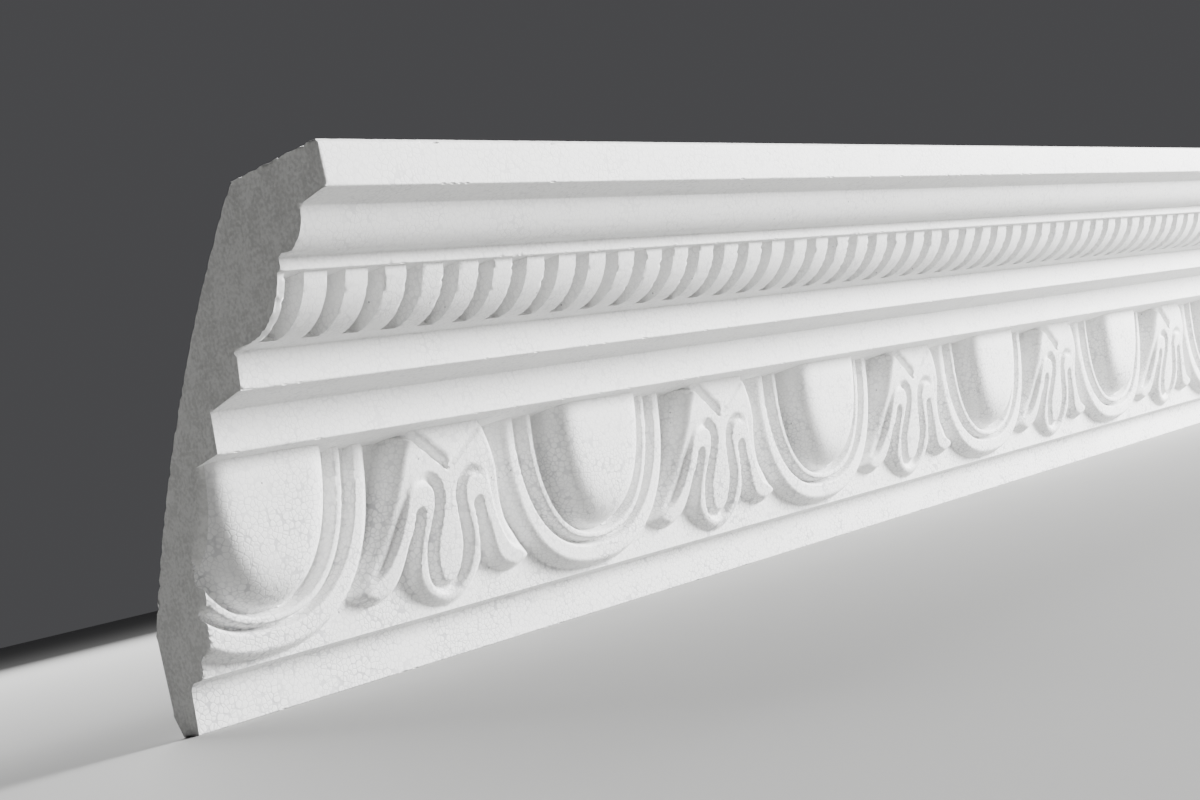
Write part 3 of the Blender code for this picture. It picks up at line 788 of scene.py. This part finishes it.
def sawn_foam(finish):
    """Expanded polystyrene torn by the saw: dull, of torn beads with small hollows between, painted darker
    than the skin and darker still in the hollows as their shade.
    """
    material = bpy.data.materials.new("sawn_expanded_polystyrene")
    material.use_nodes = True
    tree = material.node_tree
    shader = tree.nodes["Principled BSDF"]
    place = node(tree, "ShaderNodeTexCoord").outputs["Object"]
    # The crumbs of torn beads are small lumps of uneven size.
    grain = node(tree, "ShaderNodeTexNoise", [(place, "Vector")], in_Scale=1 / (CRUMB * MM), in_Detail=4.0)
    lumps = node(tree, "ShaderNodeTexNoise", [(place, "Vector")], in_Scale=1 / (4 * CRUMB * MM),
                 in_Detail=2.0)
    # The saw leaves slow streaks up the face.
    tall = node(tree, "ShaderNodeVectorMath", [(place, 0)], operation="MULTIPLY",
                in_1=(1.0, 1.0, 1.0 / STREAK_STRETCH))
    streak = node(tree, "ShaderNodeTexNoise", [(tall.outputs[0], "Vector")],
                  in_Scale=1 / (STREAK_WIDTH * MM), in_Detail=2.0)
    rough = maths(tree, "ADD", maths(tree, "MULTIPLY", grain.outputs["Fac"], CRUMB_SHARE),
                  maths(tree, "MULTIPLY", lumps.outputs["Fac"], 1.0 - CRUMB_SHARE))
    # The hollows between the lumps are painted darker as shade, with less of it on the saw's streaks.
    shade = ramp(tree, rough, 0.38, 0.62)
    streaks = ramp(tree, streak.outputs["Fac"], 0.3, 0.7, STREAK_LEAST, 1.0)
    shade = maths(tree, "MULTIPLY", shade, streaks)
    colour = blend(tree, shade, linear(finish.sawn_colour_and_shade), linear(finish.hollow_shade_colour))
    tree.links.new(colour, shader.inputs["Base Color"])
    height = maths(tree, "SUBTRACT", streak.outputs["Fac"], rough)
    bump = node(tree, "ShaderNodeBump", [(height, "Height")], in_Strength=0.4, in_Distance=TORN_RELIEF * MM)
    tree.links.new(bump.outputs["Normal"], shader.inputs["Normal"])
    shader.inputs["Roughness"].default_value = 0.95
    shader.inputs["Specular IOR Level"].default_value = 0.1
    return material


def inside_outline(points, outline):
    """How far inside a closed outline each point lies, negative outside it."""
    within = np.zeros(len(points), dtype=bool)
    nearest = np.full(len(points), 1.0)
    for start, end in zip(outline, np.roll(outline, -1, axis=0)):
        along = end - start
        if along @ along == 0.0:
            continue
        crosses = (start[1] > points[:, 1]) != (end[1] > points[:, 1])
        rise = along[1] if along[1] != 0.0 else 1.0
        where = start[0] + along[0] * (points[:, 1] - start[1]) / rise
        within ^= crosses & (points[:, 0] < where)
        t = np.clip((points - start) @ along / (along @ along), 0.0, 1.0)
        away = points - start - t[:, None] * along
        nearest = np.minimum(nearest, np.hypot(away[:, 0], away[:, 1]))
    return np.where(within, nearest, -nearest)


def torn(y, z):
    """An uneven value from -1 to 1 over the sawn face, at the size of a bead.

    It adds up bent waves and plain ones, 0.6 to 2.2 mm long, given in radians a metre.
    """
    value = np.sin(y * 2900 + 1.3 * np.sin(z * 1700)) + np.sin(z * 3300 + 1.7 * np.sin(y * 2100 + 1.0))
    value = value + 0.7 * np.sin(y * 5300 + z * 4700) + 0.5 * np.sin(y * 7900 - z * 6900 + 2.0)
    return value / 3.2


def deselect():
    """Leaves nothing selected, so an operator acts only on what is chosen next."""
    for chosen in list(bpy.context.selected_objects):
        chosen.select_set(False)


def corners(piece):
    """The places of a mesh's points, one row for each."""
    places = np.empty(len(piece.data.vertices) * 3)
    piece.data.vertices.foreach_get("co", places)
    return places.reshape(-1, 3)


def move_corners(piece, places):
    """Moves a mesh's points to the places given."""
    piece.data.vertices.foreach_set("co", places.ravel())
    piece.data.update()


def add_skin(places):
    """A grid whose rows go round the section and whose columns go along the length."""
    rows, columns, _ = places.shape
    bpy.ops.mesh.primitive_grid_add(x_subdivisions=columns - 1, y_subdivisions=rows - 1, size=1.0)
    skin = bpy.context.object
    flat = corners(skin)
    column = np.rint((flat[:, 0] + 0.5) * (columns - 1)).astype(int)
    row = np.rint((flat[:, 1] + 0.5) * (rows - 1)).astype(int)
    move_corners(skin, places[row, column])
    return skin


def add_sawn_end(rim, roughness, into):
    """A flat face over one end of the skin, laid out in small cells and torn by the saw."""
    outline = rim[:, 1:]
    bpy.ops.mesh.primitive_circle_add(vertices=len(rim), radius=1.0, fill_type="NOTHING")
    face = bpy.context.object
    bpy.ops.object.mode_set(mode="EDIT")
    bpy.ops.mesh.select_all(action="DESELECT")
    low, high = outline.min(axis=0), outline.max(axis=0)
    cells = ((high - low) / (END_CELL * MM)).astype(int) + 1
    bpy.ops.mesh.primitive_grid_add(x_subdivisions=int(cells[0]), y_subdivisions=int(cells[1]), size=1.0)
    bpy.ops.object.mode_set(mode="OBJECT")
    grid = corners(face)[len(rim):, :2]
    inner = np.column_stack([np.full(len(grid), rim[0, 0]), low + (grid + 0.5) * (high - low)])
    flat = np.vstack([rim, inner])
    away = inside_outline(flat[:, 1:], outline)
    away[:len(rim)] = 0.0
    move_corners(face, flat)
    bpy.ops.object.mode_set(mode="EDIT")
    bpy.ops.mesh.select_mode(type="FACE")
    shell = bmesh.from_edit_mesh(face.data)
    for cell in shell.faces:
        cell.select_set(any(away[vert.index] < END_CELL * MM * RIM_CLEARANCE for vert in cell.verts))
    bmesh.update_edit_mesh(face.data)
    bpy.ops.mesh.delete(type="FACE")
    bpy.ops.mesh.select_mode(type="EDGE")
    bpy.ops.mesh.select_all(action="DESELECT")
    bpy.ops.mesh.select_non_manifold()
    bpy.ops.mesh.fill(use_beauty=True)
    bpy.ops.object.mode_set(mode="OBJECT")
    flat = corners(face)
    torn_depth = SAWN_SINK + SAWN_SWING * torn(flat[len(rim):, 1], flat[len(rim):, 2])
    flat[len(rim):, 0] += into * roughness * torn_depth
    move_corners(face, flat)
    return face


class OBJECT_OT_cornice_moulding(bpy.types.Operator):
    """Carves the skin of the moulding, closes its sawn ends and gives it its finish"""

    bl_idname = "object.cornice_moulding"
    bl_label = "Cornice moulding"
    bl_options = {"REGISTER", "UNDO"}

    def execute(self, context):
        sizes = context.scene.cornice_sizes
        finish = context.scene.cornice_finish
        deselect()
        places = skin_places(sizes.egg_height / MM, sizes.chip_depth / MM)
        near, far = places[:-1, 0].copy(), places[:-1, -1].copy()
        skin = add_skin(places)
        ends = [add_sawn_end(near, sizes.end_roughness, 1.0), add_sawn_end(far, sizes.end_roughness, -1.0)]
        deselect()
        for part in (*ends, skin):
            part.select_set(True)
        context.view_layer.objects.active = skin
        bpy.ops.object.join()
        bpy.ops.object.mode_set(mode="EDIT")
        bpy.ops.mesh.select_all(action="SELECT")
        bpy.ops.mesh.remove_doubles(threshold=MERGE_DISTANCE * MM)
        bpy.ops.mesh.normals_make_consistent(inside=False)
        bpy.ops.object.mode_set(mode="OBJECT")
        triangles = sum(len(face.vertices) - 2 for face in skin.data.polygons)
        thin = skin.modifiers.new("thin", "DECIMATE")
        thin.ratio = sizes.kept_triangles / triangles
        thin.use_collapse_triangulate = True
        bpy.ops.object.modifier_apply(modifier="thin")
        skin.name = "carved_moulding"
        skin.data.name = "carved_moulding"
        skin.data.materials.clear()
        skin.data.materials.append(moulded_foam(finish))
        skin.data.materials.append(sawn_foam(finish))
        for face in skin.data.polygons:
            if abs(face.normal.x) > END_FACING and abs(face.center.x) > (LENGTH / 2 - RIM_TOLERANCE) * MM:
                face.material_index = 1
        bpy.ops.object.shade_smooth_by_angle(angle=math.radians(SMOOTH_ANGLE))
        even = skin.modifiers.new("even", "WEIGHTED_NORMAL")
        even.keep_sharp = True
        bpy.ops.object.modifier_apply(modifier="even")
        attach(skin, "root")
        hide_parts(PIECE)
        return {"FINISHED"}


class OBJECT_OT_cornice_stage(bpy.types.Operator):
    """Sets the floor, the lights and the camera"""

    bl_idname = "object.cornice_stage"
    bl_label = "Stage"
    bl_options = {"REGISTER", "UNDO"}

    def execute(self, context):
        stage = context.scene.cornice_stage
        deselect()
        bpy.ops.mesh.primitive_circle_add(vertices=FLOOR_SIDES, radius=FLOOR_RADIUS, fill_type="NGON",
                                          location=(0.0, 0.0, CAD_BOX[0].z))
        floor = context.object
        floor.name = "floor"
        paint = bpy.data.materials.new("matt_paper_floor")
        paint.use_nodes = True
        shader = paint.node_tree.nodes["Principled BSDF"]
        shader.inputs["Base Color"].default_value = linear(stage.floor_colour)
        shader.inputs["Roughness"].default_value = 0.9
        shader.inputs["Specular IOR Level"].default_value = 0.1
        floor.data.materials.append(paint)

        world = bpy.data.worlds.new("soft_room")
        world.use_nodes = True
        world.node_tree.nodes["Background"].inputs["Color"].default_value = linear(stage.room_colour)
        context.scene.world = world

        for name, way, power in (("key", KEY_WAY, stage.key_power), ("back", BACK_WAY, stage.back_power)):
            bpy.ops.object.light_add(type="AREA", location=LIGHT_AIM + way)
            light = context.object
            light.name = name
            light.data.size = LIGHT_SIZE
            light.data.energy = power
            light.rotation_euler = (-way).to_track_quat("-Z", "Y").to_euler()

        bpy.ops.object.camera_add()
        camera = context.object
        camera.data.sensor_width = CAMERA_WIDTH
        camera.data.lens = CAMERA_LENS
        camera.data.clip_start = CAMERA_NEAREST
        turn = Matrix((CAMERA_RIGHT, CAMERA_UP, -CAMERA_AHEAD)).transposed()
        camera.matrix_world = Matrix.Translation(CAMERA_PLACE) @ turn.to_4x4()
        context.scene.camera = camera
        return {"FINISHED"}


class VIEW3D_PT_cornice(bpy.types.Panel):
    """Lists the sizes and the makers of the cornice"""

    bl_idname = "VIEW3D_PT_cornice"
    bl_label = "Cornice"
    bl_space_type = "VIEW_3D"
    bl_region_type = "UI"
    bl_category = "Cornice"

    def draw(self, context):
        layout = self.layout
        for name in ("cornice_sizes", "cornice_finish", "cornice_stage"):
            group = getattr(context.scene, name)
            box = layout.box()
            for key in group.__annotations__:
                box.prop(group, key)
        for maker in MAKERS:
            layout.operator(maker.bl_idname)


MAKERS = (OBJECT_OT_cornice_moulding, OBJECT_OT_cornice_stage)
GROUPS = {"cornice_sizes": CorniceSizes, "cornice_finish": FoamFinish, "cornice_stage": StageSettings}


def register():
    for kind in (*GROUPS.values(), *MAKERS, VIEW3D_PT_cornice):
        bpy.utils.register_class(kind)
    for name, group in GROUPS.items():
        setattr(bpy.types.Scene, name, bpy.props.PointerProperty(type=group))


def unregister():
    for name in GROUPS:
        delattr(bpy.types.Scene, name)
    for kind in (VIEW3D_PT_cornice, *reversed(MAKERS), *reversed(GROUPS.values())):
        bpy.utils.unregister_class(kind)


def main():
    register()
    bpy.ops.object.cornice_moulding()
    bpy.ops.object.cornice_stage()


if __name__ == "__main__":
    main()
